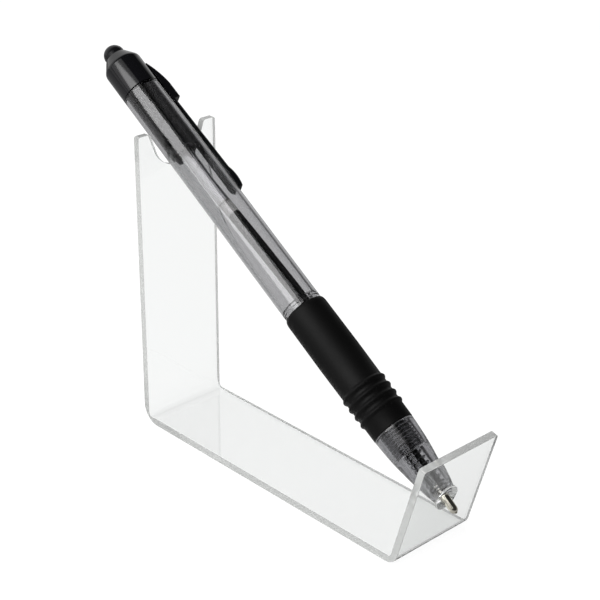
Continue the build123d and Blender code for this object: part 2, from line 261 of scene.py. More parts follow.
nose_front, nose_back = span("nose_cone")
grip_front, grip_back = span("grip_sleeve")
spigot_front, barrel_back = span("barrel")
guide_front, cap_back = span("top_cap")
button_foot, button_top = span("push_button")
clip_front, _ = span("clip")
holder_front, plug_back = span("tip_holder")
tube_front, tube_back = span("refill_tube")
ink_front, ink_back = span("ink_column")
grease_front, grease_back = span("ink_follower")
_, point_back = span("writing_point")
spring_seat = nose_front + spring_seat_depth
flange_front = tube_front - flange_thickness
flange_top = button_foot + button_flange_height
button_stop = flange_top + button_stop_gap
clip_hinge = barrel_back + clip_hinge_rise

# How far the thin ink tube bows inside the barrel, by station
tube_bow = (
    (tube_front, 0.0),
    (grip_front, 0.0),
    (59.0, 1.1),
    (80.0, 0.5),
    (98.0, -0.3),
    (tube_back, 0.0),
)


def radial(turn):
    """Direction square to the pen, turned about it from its upper side towards +Y."""
    return pen_up * cos(radians(turn)) + across * sin(radians(turn))


def pen_point(station, radius=0.0, turn=0.0):
    """A point by its station, its distance from the pen's axis and its turn about it."""
    return pen_tip + pen_axis * station * MM + radial(turn) * radius * MM


# Outlines
def arc(centre, radius, start, end, steps):
    """Points of a round part of an outline, from one angle to another."""
    turns = [radians(start + (end - start) * step / steps) for step in range(steps + 1)]
    return [(centre[0] + radius * cos(turn), centre[1] + radius * sin(turn)) for turn in turns]


def smooth_run(corners, steps):
    """Points of an even curve through the corners of an outline, with so many steps between two."""
    run = []
    last = len(corners) - 1
    for index in range(last):
        ends = [Vector(corners[min(max(index + step, 0), last)]) for step in (-1, 0, 1, 2)]
        slope_in = (ends[2] - ends[0]) / 2
        slope_out = (ends[3] - ends[1]) / 2
        for step in range(steps):
            share = step / steps
            square, cube = share**2, share**3
            point = ends[1] * (2 * cube - 3 * square + 1) + slope_in * (cube - 2 * square + share)
            point += ends[2] * (3 * square - 2 * cube) + slope_out * (cube - square)
            run.append(tuple(point))
    return run + [tuple(corners[-1])]


def straight(radius, start, end):
    """Evenly spaced outline points along the pen."""
    return [(radius, start + (end - start) * step / tube_steps) for step in range(tube_steps + 1)]


def hollow_back(radius, back):
    """The hollow end of a liquid, from just inside its rim to the axis."""
    turns = [radians(90 * step / hollow_steps) for step in range(1, hollow_steps)]
    hollow = [(radius * cos(turn), back - ink_hollow * sin(turn)) for turn in turns]
    return hollow + [(0, back - ink_hollow)]


# Modelling steps
def pick(piece):
    """Makes a piece the only selected object and the active one."""
    bpy.ops.object.select_all(action="DESELECT")
    piece.select_set(True)
    bpy.context.view_layer.objects.active = piece


def begin(name, location):
    """Starts a piece as one point, in edit mode."""
    bpy.ops.object.select_all(action="DESELECT")
    bpy.ops.mesh.primitive_plane_add(size=MM, location=location)
    piece = bpy.context.active_object
    piece.name = name
    bpy.ops.object.mode_set(mode="EDIT")
    bpy.ops.mesh.select_all(action="SELECT")
    bpy.ops.mesh.merge(type="CENTER")
    return piece


def draw(points):
    """Extrudes the one selected point along a path."""
    here = points[0]
    for there in points[1:]:
        bpy.ops.mesh.extrude_vertices_move(TRANSFORM_OT_translate={"value": there - here})
        here = there


def weld(gap=weld_gap):
    """Selects all of the piece in edit mode and joins points that lie together."""
    bpy.ops.mesh.select_all(action="SELECT")
    bpy.ops.mesh.remove_doubles(threshold=gap * MM)


def settle(piece, place=Matrix.Identity(4)):
    """Leaves edit mode with clean normals and puts the piece's place into its mesh."""
    weld()
    bpy.ops.mesh.normals_make_consistent(inside=False)
    bpy.ops.object.mode_set(mode="OBJECT")
    piece.matrix_world = place @ piece.matrix_world
    bpy.ops.object.transform_apply(location=True, rotation=True, scale=True)
    return piece


def apply(piece, kind, **values):
    """Adds a modifier with these values and applies it."""
    pick(piece)
    modifier = piece.modifiers.new(kind.lower(), kind)
    for name, value in values.items():
        setattr(modifier, name, value)
    bpy.ops.object.modifier_apply(modifier=modifier.name)


def soften(piece, width, segments=edge_steps, sharper_than=crease_angle):
    """Rounds the sharp edges and shades the rest smooth."""
    apply(
        piece,
        "BEVEL",
        width=width * MM,
        segments=segments,
        limit_method="ANGLE",
        angle_limit=radians(sharper_than),
        use_clamp_overlap=True,
    )
    bpy.ops.object.shade_smooth_by_angle(angle=radians(smooth_angle))
    apply(piece, "WEIGHTED_NORMAL", mode="FACE_AREA", weight=50, keep_sharp=True)


def turned(name, outline, edge=0.0, sides=turned_sides):
    """Draws half an outline of (radius, station) points beside the pen's axis and spins it."""
    points = [Vector((radius, 0, station)) * MM for radius, station in outline]
    if outline[0][0] > 0:
        points.append(points[0])
    piece = begin(name, points[0])
    draw(points)
    weld()
    bpy.ops.mesh.select_all(action="SELECT")
    bpy.ops.mesh.spin(steps=sides, angle=2 * pi, center=(0, 0, 0), axis=(0, 0, 1))
    settle(piece, pen_place)
    if edge:
        soften(piece, edge)
    else:
        bpy.ops.object.shade_smooth_by_angle(angle=radians(crease_angle))
    return piece


def punch(name, outline, run):
    """A drawn outline, extruded along a run. All in metres."""
    piece = begin(name, outline[0])
    draw(outline + outline[:1])
    weld()
    bpy.ops.mesh.edge_face_add()
    bpy.ops.mesh.extrude_region_move(TRANSFORM_OT_translate={"value": run})
    return settle(piece)


def rod_cutter(radius, start, end, sides=rod_sides):
    """A round cutter from one point to another, both in metres."""
    run = end - start
    bpy.ops.object.select_all(action="DESELECT")
    bpy.ops.mesh.primitive_cylinder_add(vertices=sides, radius=radius * MM, depth=run.length)
    rod = bpy.context.active_object
    heading = run.to_track_quat("Z", "Y").to_matrix().to_4x4()
    rod.matrix_world = Matrix.Translation((start + end) / 2) @ heading
    bpy.ops.object.transform_apply(location=True, rotation=True, scale=True)
    return rod


def cut(piece, *cutters):
    """Takes the cutters out of a piece and removes them."""
    for cutter in cutters:
        apply(piece, "BOOLEAN", object=cutter, operation="DIFFERENCE", solver="EXACT")
        bpy.data.objects.remove(cutter)


def round_corners(piece, radius, steps, chosen):
    """Rounds the straight edges that a test picks by their two ends."""
    pick(piece)
    bpy.ops.object.mode_set(mode="EDIT")
    bpy.ops.mesh.select_mode(type="EDGE")
    bpy.ops.mesh.select_all(action="DESELECT")
    bpy.ops.object.mode_set(mode="OBJECT")
    for edge in piece.data.edges:
        edge.select = chosen(*(piece.data.vertices[index].co for index in edge.vertices))
    bpy.ops.object.mode_set(mode="EDIT")
    bpy.ops.mesh.bevel(offset=radius * MM, segments=steps, affect="EDGES")
    bpy.ops.mesh.select_mode(type="VERT")
    bpy.ops.object.mode_set(mode="OBJECT")


def sag(station):
    """The tube's bow at a station, smoothed over a short reach."""
    total = 0.0
    for shift in range(-bow_reach, bow_reach + 1):
        here = station + shift
        for (start, low), (end, high) in zip(tube_bow, tube_bow[1:]):
            if start <= here < end:
                total += low + (high - low) * (here - start) / (end - start)
    return total / (2 * bow_reach + 1)


def bow(piece):
    """Bends a piece of the refill sideways with the ink tube."""
    for vertex in piece.data.vertices:
        vertex.co += radial(bow_turn) * sag(station_of(vertex.co)) * MM
    return piece


# Finishes
noise_low = 0.3
noise_high = 0.7
patch_scale = 60.0
patch_detail = 3.0
grain_detail = 2.0
relief_depth = 0.05
acrylic_ior = 1.49
plastic_ior = 1.5
grease_ior = 1.46


def feed(tree, source, target):
    """Links a socket to a target, or sets a plain value on it."""
    if hasattr(source, "is_linked"):
        tree.links.new(source, target)
    else:
        target.default_value = source


def group(name, inputs, outputs):
    """An empty node group with named number inputs and outputs."""
    tree = bpy.data.node_groups.new(name, "ShaderNodeTree")
    for label, value in inputs.items():
        socket = tree.interface.new_socket(label, in_out="INPUT", socket_type="NodeSocketFloat")
        socket.default_value = value
    for label in outputs:
        tree.interface.new_socket(label, in_out="OUTPUT", socket_type="NodeSocketFloat")
    return tree, tree.nodes.new("NodeGroupInput"), tree.nodes.new("NodeGroupOutput")


def noise(tree, scale, detail):
    """A noise on the piece's own coordinates. The scale is in turns to the metre."""
    place = tree.nodes.new("ShaderNodeTexCoord")
    texture = tree.nodes.new("ShaderNodeTexNoise")
    feed(tree, detail, texture.inputs["Detail"])
    feed(tree, place.outputs["Object"], texture.inputs["Vector"])
    feed(tree, scale, texture.inputs["Scale"])
    return texture.outputs["Fac"]


def spread(tree, source, low, high):
    """Maps a noise's middle range onto low to high."""
    ranged = tree.nodes.new("ShaderNodeMapRange")
    feed(tree, noise_low, ranged.inputs["From Min"])
    feed(tree, noise_high, ranged.inputs["From Max"])
    feed(tree, source, ranged.inputs["Value"])
    feed(tree, low, ranged.inputs["To Min"])
    feed(tree, high, ranged.inputs["To Max"])
    return ranged.outputs["Result"]


def handling_group():
    """Uneven gloss from handling, with a fine grain for the bump."""
    inputs = {"Low": 0.1, "High": 0.2, "Patch scale": patch_scale, "Grain scale": 4000.0}
    tree, given, made = group("handling", inputs, ("Roughness", "Height"))
    patches = noise(tree, given.outputs["Patch scale"], patch_detail)
    gloss = spread(tree, patches, given.outputs["Low"], given.outputs["High"])
    grain = noise(tree, given.outputs["Grain scale"], grain_detail)
    feed(tree, gloss, made.inputs["Roughness"])
    feed(tree, grain, made.inputs["Height"])
    return tree


handling = handling_group()


def surface_finish(name, colour, low, high, grain, bump, **sockets):
    """A finish with fixed shader values, and with gloss and a fine bump from the handling group."""
    material = bpy.data.materials.new(name)
    material.use_nodes = True
    tree = material.node_tree
    shader = tree.nodes["Principled BSDF"]
    shader.inputs["Base Color"].default_value = (*colour, 1)
    for label, value in sockets.items():
        shader.inputs[label.replace("_", " ")].default_value = value
    wear = tree.nodes.new("ShaderNodeGroup")
    wear.node_tree = handling
    for label, value in (("Low", low), ("High", high), ("Grain scale", grain)):
        wear.inputs[label].default_value = value
    feed(tree, wear.outputs["Roughness"], shader.inputs["Roughness"])
    if bump:
        relief = tree.nodes.new("ShaderNodeBump")
        feed(tree, bump, relief.inputs["Strength"])
        feed(tree, relief_depth * MM, relief.inputs["Distance"])
        feed(tree, wear.outputs["Height"], relief.inputs["Height"])
        feed(tree, relief.outputs["Normal"], shader.inputs["Normal"])
    return material


def clear_finish(name, colour, low, high, grain, ior):
    """A finish that lets all light through."""
    return surface_finish(name, colour, low, high, grain, 0.0, Transmission_Weight=1.0, IOR=ior)


def edge_finish(name, colour):
    """The cloudy finish of sawn acrylic."""
    return surface_finish(
        name, colour, 0.15, 0.25, 1500.0, 0.1, Transmission_Weight=0.55, IOR=acrylic_ior
    )


# Each finish has its name, its colour, its least and most roughness and the scale of its grain
clear_sheet = clear_finish("clear_sheet", (0.9, 0.91, 0.905), 0.0, 0.015, 400.0, acrylic_ior)
cut_edge = edge_finish("cut_edge", (0.68, 0.69, 0.68))
# A lighter copy of the sawn edge for the top edges: painted light where the sheet lets out the light it
# carries
top_edge_painted_light = edge_finish("top_edge_painted_light", (0.87, 0.88, 0.87))
# Darker tint for the lower outer faces of the front bend
darker_bend_underside = clear_finish("darker_bend_underside", (0.5, 0.505, 0.5), 0.02, 0.06, 800.0, acrylic_ior)
smoky_clear = clear_finish("smoky_clear", (0.385, 0.385, 0.395), 0.0, 0.03, 800.0, plastic_ior)
nose_clear = clear_finish("nose_clear", (0.31, 0.31, 0.325), 0.0, 0.03, 800.0, plastic_ior)
clear_bore = clear_finish("clear_bore", (0.97, 0.97, 0.97), 0.0, 0.03, 800.0, plastic_ior)
tube_clear = clear_finish("tube_clear", (0.8, 0.8, 0.81), 0.02, 0.06, 800.0, plastic_ior)

# These also have the strength of their bump
# The thread's crests are painted lighter: painted highlight
thread_crest_painted_highlight = surface_finish(
    "thread_crest_painted_highlight", (0.8, 0.8, 0.82), 0.05, 0.1, 1500.0, 0.0, Transmission_Weight=0.7, IOR=plastic_ior
)
# The thread's roots are painted darker: painted shade
thread_root_painted_shade = surface_finish(
    "thread_root_painted_shade", (0.3, 0.3, 0.31), 0.05, 0.1, 1500.0, 0.0, Transmission_Weight=0.8, IOR=plastic_ior
)
clear_grease = surface_finish(
    "clear_grease", (0.9, 0.89, 0.85), 0.08, 0.2, 900.0, 0.0, Transmission_Weight=0.95, IOR=grease_ior
)
gloss_black = surface_finish("gloss_black", (0.004, 0.004, 0.005), 0.05, 0.09, 5000.0, 0.02)
satin_black = surface_finish(
    "satin_black", (0.005, 0.005, 0.006), 0.18, 0.24, 5000.0, 0.04, Specular_IOR_Level=0.3
)
soft_rubber = surface_finish(
    "soft_rubber", (0.0025, 0.0025, 0.0025), 0.45, 0.57, 9000.0, 0.3, Specular_IOR_Level=0.13
)
# Grey of the inner plastic parts, also used inside the guide as painted reflection
grey_plastic_and_painted_reflection = surface_finish("grey_plastic_and_painted_reflection", (0.16, 0.16, 0.165), 0.3, 0.4, 3000.0, 0.05)
ink_black = surface_finish(
    "ink_black", (0.002, 0.002, 0.003), 0.05, 0.12, 600.0, 0.0, Specular_IOR_Level=0.1
)
point_nickel = surface_finish(
    "point_nickel", (0.85, 0.82, 0.72), 0.1, 0.16, 6000.0, 0.02, Metallic=1.0
)
ball_metal = surface_finish("ball_metal", (0.4, 0.38, 0.3), 0.08, 0.14, 6000.0, 0.0, Metallic=1.0)
spring_steel = surface_finish(
    "spring_steel", (0.3, 0.3, 0.31), 0.16, 0.28, 5000.0, 0.05, Metallic=1.0
)


def paint(piece, finish):
    """Gives a piece one finish."""
    piece.data.materials.clear()
    piece.data.materials.append(finish)


def paint_faces(piece, finish, chosen):
    """Gives a further finish to the faces that a test picks."""
    piece.data.materials.append(finish)
    index = len(piece.data.materials) - 1
    for face in piece.data.polygons:
        if chosen(face):
            face.material_index = index


def beside_axis(place):
    """A point's station and its distance from the pen's axis, in millimetres."""
    arm = (place - pen_tip) / MM
    station = arm.dot(pen_axis)
    return station, (arm - pen_axis * station).length


def outward(face):
    """One where a face looks straight away from the pen's axis, minus one where it looks at it."""
    arm = face.center - pen_tip
    arm -= pen_axis * arm.dot(pen_axis)
    return face.normal.dot(arm.normalized())


def tint_outside(piece, outside):
    """Tinted finish on the faces that look away from the pen's axis, a clear one on bores and ends."""
    paint(piece, outside)
    paint_faces(piece, clear_bore, lambda face: outward(face) <= outward_least)


# Pieces
def notch_cutter(low, high):
    """The rounded V of the wall's notch, as a cutter through the wall."""
    half_angle = notch_angle / 2
    apex = high.z / MM - notch_width / 2 / tan(radians(half_angle))
    round_middle = apex + notch_radius / sin(radians(half_angle))
    above = high.z / MM + sheet_thickness
    top_half = notch_width / 2 + sheet_thickness * tan(radians(half_angle))
    outline = [(-top_half, above)]
    outline += arc((0, round_middle), notch_radius, 180 + half_angle, 360 - half_angle, notch_steps)
    outline.append((top_half, above))
    behind = low.x - sheet_thickness * MM
    corners = [Vector((behind, y * MM, z * MM)) for y, z in outline]
    cutter = punch("notch_cutter", corners, Vector((3 * sheet_thickness * MM, 0, 0)))
    paint(cutter, clear_sheet)
    paint_faces(cutter, cut_edge, lambda face: True)
    return cutter


def bent_sheet():
    """The clear stand: its side with nearly sharp inner bends, pulled to width, notched and bored."""
    low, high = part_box("acrylic_stand")
    lip_along = Vector((cos(radians(lip_angle)), 0, sin(radians(lip_angle))))
    lip_outward = Vector((sin(radians(lip_angle)), 0, -cos(radians(lip_angle))))
    front_corner = Vector((-low.x, 0, 0))
    lip_top = front_corner + lip_along * lip_length * MM
    inner_lip_top = lip_top / MM - lip_outward * sheet_thickness

    def front_bend(inset, radius, start, end, steps):
        """Round of the front bend, its middle inset from the base's underside and the lip's face."""
        middle = front_corner / MM - lip_outward * inset
        middle += lip_along * inset * tan(radians(lip_angle / 2))
        return arc((middle.x, middle.z), radius, start, end, steps)

    def on_side(face):
        """True for the strip's two long sides."""
        return abs(face.normal.y) > squarely

    def on_bend(face):
        """True for the lower outer faces of the front bend."""
        return face.normal.x > underside_forward and face.normal.z < -underside_down

    def on_top(face):
        """True for the wall's top edge and the lip's."""
        at_lip = face.center.x > lip_top.x - 2 * sheet_thickness * MM
        at_wall_top = face.center.z > high.z - near * MM
        if at_lip and face.normal.dot(lip_along) > squarely:
            return True
        return at_wall_top and face.normal.z > squarely

    def top_corner(first, second):
        """True for an edge straight through the sheet, at the wall's top or the lip's."""
        run = second - first
        if abs(run.y) > near * MM or abs(run.length - sheet_thickness * MM) > near * MM:
            return False
        at_lip = abs((first - lip_top).dot(lip_along)) < near * MM and first.x > 0
        return at_lip or min(first.z, second.z) > high.z - near * MM

    wall = low.x / MM
    inner = sheet_thickness + inner_bend_radius
    side = [(wall, high.z / MM)]
    side += arc((wall + back_bend_radius, back_bend_radius), back_bend_radius, 180, 270, bend_steps)
    side += front_bend(front_bend_radius, front_bend_radius, 270, 270 + lip_angle, bend_steps)
    side += [(lip_top.x / MM, lip_top.z / MM), (inner_lip_top.x, inner_lip_top.z)]
    side += front_bend(inner, inner_bend_radius, 270 + lip_angle, 270, inner_bend_steps)
    side += arc((wall + inner, inner), inner_bend_radius, 270, 180, inner_bend_steps)
    side.append((wall + sheet_thickness, high.z / MM))
    corners = [Vector((x * MM, low.y, z * MM)) for x, z in side]
    piece = punch("bent_sheet", corners, Vector((0, high.y - low.y, 0)))
    paint(piece, clear_sheet)
    paint_faces(piece, cut_edge, on_side)
    paint_faces(piece, darker_bend_underside, on_bend)
    # The top edges get painted light
    paint_faces(piece, top_edge_painted_light, on_top)
    notch = notch_cutter(low, high)
    hole = front_corner + lip_along * tip_hole_height * MM
    through = lip_outward * 3 * sheet_thickness * MM
    bore = rod_cutter(tip_hole_radius, hole - through, hole + through, tip_hole_sides)
    paint(bore, clear_sheet)
    cut(piece, notch, bore)
    round_corners(piece, sheet_corner, corner_steps, top_corner)
    soften(piece, sheet_edge, sheet_edge_steps, sheet_crease)
    return piece


def clear_barrel():
    """Clear tube with a threaded spigot, the core under the grip and a groove behind the collar."""
    root = thread_radius - thread_depth
    outline = [(sleeve_bore, spigot_front), (root, spigot_front)]
    for turn in range(thread_turns):
        start = spigot_front + thread_start + turn * thread_pitch
        outline += [(thread_radius - drop, start + share * thread_pitch) for share, drop in thread_form]
    groove = grip_back + collar_length
    outline += [
        (root, nose_back),
        (grip_core - fit_gap, nose_back),
        (grip_core - fit_gap, grip_back),
        (barrel_radius, grip_back),
        (barrel_radius, groove),
        (barrel_radius - groove_depth, groove),
        (barrel_radius - groove_depth, groove + groove_width),
        (barrel_radius, groove + groove_width),
        (barrel_radius, barrel_back),
        (barrel_bore, barrel_back),
        (barrel_bore, grip_back + bore_step_length),
        (sleeve_bore, grip_back + bore_step_length),
    ]
    piece = turned("clear_barrel", outline, barrel_edge)
    crest = thread_radius - (thread_gap + thread_depth) / 2

    def in_thread(face):
        """True for the spigot's outer faces between its two ends."""
        station, reach = beside_axis(face.center)
        between = spigot_front + fit_gap < station < nose_back - fit_gap
        return between and reach > sleeve_bore + fit_gap

    def on_crest(face):
        """True for the outermost faces of the thread."""
        _, reach = beside_axis(face.center)
        return in_thread(face) and reach > crest and outward(face) > squarely

    tint_outside(piece, smoky_clear)
    # Painted highlight on the thread's crests and painted shade in its roots
    paint_faces(piece, thread_crest_painted_highlight, on_crest)
    paint_faces(piece, thread_root_painted_shade, lambda face: in_thread(face) and not on_crest(face))
    return piece


def clear_nose():
    """Clear nose: a cone that swells towards the grip, bored for point, spring and thread."""
    swell = [
        (nose_tip_radius, nose_front),
        (nose_cone_radius, nose_front + nose_cone_length),
        (nose_swell_radius, nose_front + nose_swell_length),
        (nose_back_radius, nose_back),
    ]
    outline = smooth_run(swell, nose_steps)
    outline += [
        (thread_radius, nose_back),
        (thread_radius, spigot_front - fit_gap),
        (spring_room, spigot_front - fit_gap),
        (spring_room, spring_seat),
        (point_bore, spring_seat),
        (point_bore, nose_front),
    ]
    piece = turned("clear_nose", outline, nose_edge)
    tint_outside(piece, nose_clear)
    return piece


def rubber_grip():
    """Rubber sleeve that swells to its middle, with round ribs near the nose and a rounded shoulder."""
    swell = (grip_middle_radius - grip_front_radius) / grip_swell_length
    front_round = (grip_front_radius - grip_front_round, grip_front + grip_front_round)
    outline = [(grip_core, grip_front)]
    outline += arc(front_round, grip_front_round, -90, 0, grip_round_steps)
    for rib in range(rib_count):
        middle = rib_start + rib * rib_pitch
        for step in range(rib_steps + 1):
            share = step / rib_steps
            along = middle + (share - 0.5) * rib_width
            rise = rib_height * sin(pi * share) ** rib_power
            outline.append((grip_front_radius + swell * along + rise, grip_front + along))
    outline.append((grip_middle_radius, grip_front + grip_swell_length))
    for step in range(shoulder_steps + 1):
        turn = radians(90 * step / shoulder_steps)
        drop = shoulder_drop * (1 - cos(turn))
        outline.append((grip_back_radius - drop, grip_back - shoulder_length * (1 - sin(turn))))
    outline.append((grip_core, grip_back))
    piece = turned("rubber_grip", outline)
    paint(piece, soft_rubber)
    return piece


def cap_and_guide():
    """Black cap with a conical crown, its windowed guide inside the barrel and the clip's groove."""
    lean = atan((barrel_radius - crown_rim_radius) / crown_rise)
    crown_foot = cap_back - crown_rise - crown_edge * tan(lean / 2)
    seam_floor = barrel_radius - seam_depth
    seam_end = barrel_back + seam_width
    outline = [
        (guide_radius, guide_front),
        (guide_radius, barrel_back),
        (seam_floor, barrel_back),
        (seam_floor, seam_end),
        (barrel_radius, seam_end),
    ]
    crown_middle = (barrel_radius - crown_edge, crown_foot)
    outline += arc(crown_middle, crown_edge, 0, degrees(lean), crown_steps)
    outline += [
        (crown_rim_radius, cap_back),
        (button_hole, cap_back),
        (button_hole, button_stop),
        (guide_bore, button_stop),
        (guide_bore, guide_front),
    ]
    piece = turned("cap_and_guide", outline)
    window_round = window_width / 2
    window_middle = guide_front + window_length - window_round
    window = [(-window_round, guide_front - window_round), (window_round, guide_front - window_round)]
    window += arc((0, window_middle), window_round, 0, 180, window_steps)
    window_depth = guide_radius - guide_bore + 2 * window_reach
    for index in range(window_count):
        turn = window_turn + index * 360 / window_count
        side = radial(turn + 90) * MM
        inside = guide_bore - window_reach
        corners = [pen_point(station, inside, turn) + side * reach for reach, station in window]
        cut(piece, punch("window_cutter", corners, radial(turn) * window_depth * MM))
    hinge = pen_point(clip_hinge, barrel_radius - bead_depth, clip_turn)
    half = radial(clip_turn + 90) * (clip_width / 2 + bead_gap) * MM
    cut(piece, rod_cutter(bead_radius + bead_gap, hinge - half, hinge + half))
    soften(piece, cap_edge)

    def in_guide(face):
        """True for the faces inside the guide tube."""
        return station_of(face.center) < barrel_back and outward(face) < inward_most

    paint(piece, gloss_black)
    # The guide's inner faces are painted lighter grey than its gloss black: painted reflection of the
    # light coming in at the front
    paint_faces(piece, grey_plastic_and_painted_reflection, in_guide)
    return piece


def button_dome():
    """Round-topped button with a skirt, hollow for the stem, and a flange that stops under the cap."""
    top = button_top - dome_drop
    outline = [
        (0, button_foot + stem_depth),
        (stem_bore, button_foot + stem_depth),
        (stem_bore, button_foot),
        (button_flange_radius, button_foot),
        (button_flange_radius, flange_top),
        (button_radius, flange_top),
    ]
    outline += arc((0, top - button_radius), button_radius, 0, 90, dome_steps)[:-1]
    outline.append((0, top))
    piece = turned("button_dome", outline)
    paint(piece, satin_black)
    return piece


def pocket_clip():
    """The clip's strip, fin and swollen end, taken from its solid, shortened and rounded."""
    piece = bpy.data.objects.new("pocket_clip", frame["nodes"]["clip"].data.copy())
    scene.collection.objects.link(piece)
    pick(piece)
    bpy.ops.mesh.customdata_custom_splitnormals_clear()
    bpy.ops.object.mode_set(mode="EDIT")
    weld(solid_weld_gap)
    bpy.ops.mesh.dissolve_limited(angle_limit=radians(flat_angle))
    settle(piece)
    for vertex in piece.data.vertices:
        ahead = max(0.0, clip_hinge - station_of(vertex.co))
        vertex.co += pen_axis * clip_shorter * MM * ahead / (clip_hinge - clip_front)
    soften(piece, clip_edge, sharper_than=clip_crease)
    paint(piece, gloss_black)
    return piece


def metal_point():
    """Metal point: a rolled rim round the ball, a rounded nose and a long taper to the shank."""
    seat = 2 * ball_radius + ink_gap
    shoulder = ball_show + point_nose_length
    first = asin((ball_radius + rim_gap) / point_nose_radius)
    outline = [
        (0, seat),
        (ball_radius + ink_gap, seat),
        (ball_radius + ink_gap, ball_show + mouth_depth),
        (ball_radius + mouth_gap, ball_show),
    ]
    for step in range(point_steps + 1):
        turn = first + (pi / 2 - first) * step / point_steps
        ahead = point_nose_length * cos(turn) / cos(first)
        outline.append((point_nose_radius * sin(turn), shoulder - ahead))
    outline += [
        (point_radius, shoulder + point_taper_length),
        (point_radius, point_back),
        (0, point_back),
    ]
    piece = turned("metal_point", outline, point_edge)
    paint(piece, point_nickel)
    return piece


def steel_ball():
    """Ball at the writing end."""
    outline = [(0, 0)]
    outline += arc((0, ball_radius), ball_radius, -ball_pole, ball_pole, ball_steps)
    outline.append((0, 2 * ball_radius))
    piece = turned("steel_ball", outline, sides=ball_sides)
    paint(piece, ball_metal)
    return piece


def point_holder():
    """Black holder with the spring's flange, and the plug that goes into the ink tube."""
    outline = [
        (point_radius + ink_gap, holder_front),
        (holder_radius, holder_front),
        (holder_radius, flange_front),
        (flange_radius, flange_front),
        (flange_radius, tube_front),
        (refill_bore - ink_gap, tube_front),
        (refill_bore - ink_gap, plug_back),
        (ink_channel, plug_back),
        (ink_channel, point_back),
        (point_radius + ink_gap, point_back),
    ]
    piece = turned("point_holder", outline, holder_edge)
    paint(piece, gloss_black)
    return piece


def ink_tube():
    """Translucent tube with rounded ends, slightly bowed."""
    outline = straight(refill_radius, tube_front, tube_back)
    outline += straight(refill_bore, tube_back, tube_front)
    piece = bow(turned("ink_tube", outline, tube_edge, tube_sides))
    paint(piece, tube_clear)
    return piece


def ink_fill():
    """Ink that wets the tube, hollowed at its back where the grease meets it."""
    radius = refill_bore + ink_wetting
    outline = [(0, ink_front)] + straight(radius, ink_front, ink_back)
    outline += hollow_back(radius, ink_back)
    piece = bow(turned("ink_fill", outline, sides=tube_sides))
    paint(piece, ink_black)
    return piece


def grease_plug():
    """Clear grease behind the ink, with a hollow back."""
    radius = refill_bore + ink_wetting
    outline = [(0, grease_front), (radius, grease_front), (radius, grease_back)]
    outline += hollow_back(radius, grease_back)
    piece = bow(turned("grease_plug", outline, sides=tube_sides))
    paint(piece, clear_grease)
    return piece


def coil_spring():
    """Wound wire with closed turns at both ends, drawn as a curve and made into a mesh."""
    front = spring_seat + wire_radius
    back = flange_front - wire_radius
    closed_rise = 2 * wire_radius * closed_spread
    open_turns = coil_turns - 2 * closed_turns
    open_rise = (back - front - 2 * closed_turns * closed_rise) / open_turns
    points = []
    station = front
    for index in range(coil_turns * points_to_turn + 1):
        turn = index / points_to_turn
        points.append(pen_point(station, coil_radius, 360 * turn))
        near_end = turn < closed_turns or turn >= coil_turns - closed_turns
        station += (closed_rise if near_end else open_rise) / points_to_turn
    curve = bpy.data.curves.new("coil_spring", "CURVE")
    curve.dimensions = "3D"
    curve.bevel_depth = wire_radius * MM
    curve.bevel_resolution = wire_smoothness
    curve.use_fill_caps = True
    curve.resolution_u = wire_smoothness
    line = curve.splines.new("NURBS")
    line.points.add(len(points) - 1)
    for control, place in zip(line.points, points):
        control.co = (*place, 1)
    line.order_u = wire_order
    line.use_endpoint_u = True
    piece = bpy.data.objects.new("coil_spring", curve)
    scene.collection.objects.link(piece)
    pick(piece)
    bpy.ops.object.convert(target="MESH")
    piece = bpy.context.active_object
    bpy.ops.object.shade_smooth_by_angle(angle=radians(smooth_angle))
    return piece


def dress(piece, slot, body, *nodes):
    """Hides the solids a piece stands for and puts it on their body. The slot is not used."""
    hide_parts(*nodes)
    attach(piece, body)


dress(bent_sheet(), "clear_acrylic", "stand", "acrylic_stand")
dress(clear_barrel(), "clear_barrel", "pen", "barrel")
dress(clear_nose(), "clear_barrel", "pen", "nose_cone")
dress(rubber_grip(), "black_rubber", "pen", "grip_sleeve")
dress(cap_and_guide(), "black_gloss", "pen", "top_cap")
dress(button_dome(), "black_gloss", "button", "push_button")
dress(pocket_clip(), "black_gloss", "clip", "clip")
dress(metal_point(), "point_metal", "refill", "writing_point")
dress(steel_ball(), "ball_steel", "refill", "writing_ball")
dress(point_holder(), "black_gloss", "refill", "tip_holder")
dress(ink_tube(), "clear_tube", "refill", "refill_tube")
dress(ink_fill(), "ink", "refill", "ink_column")
dress(grease_plug(), "grease", "refill", "ink_follower")

spring = coil_spring()
paint(spring, spring_steel)
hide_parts("return_spring")
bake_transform(spring)

for node in ("cam_rotor", "thrust_tube"):
    paint(frame["nodes"][node], grey_plastic_and_painted_reflection)

# Camera, as it stood for the photograph
camera_azimuth = 46.618
camera_elevation = 25.347
camera_roll = 0.418
camera_distance = 353.5
camera_lens = 92.9
camera_sensor = 36.0
camera_nearest = 10.0
camera_aim = Vector((0.908, 0, 45.467)) * MM

# Softboxes: where the cap's strip of light points, mirrored from the view, beside and above the pen
lamp_turn = -58.4
lamp_outward = 0.949
lamp_backward = 0.314
lamp_station = 80.0

# World and floor
fill_light = 0.4
white_level = 0.8
backdrop_level = 0.64
floor_size = 6000.0
floor_drop = 0.05
floor_colour = (0.93, 0.93, 0.93, 1)
floor_glow = 1.2
floor_glow_share = 0.8
mirror_dimming = 0.65
bounce_dimming = 0.3
floor_shine = 0.06
floor_roughness = 0.02


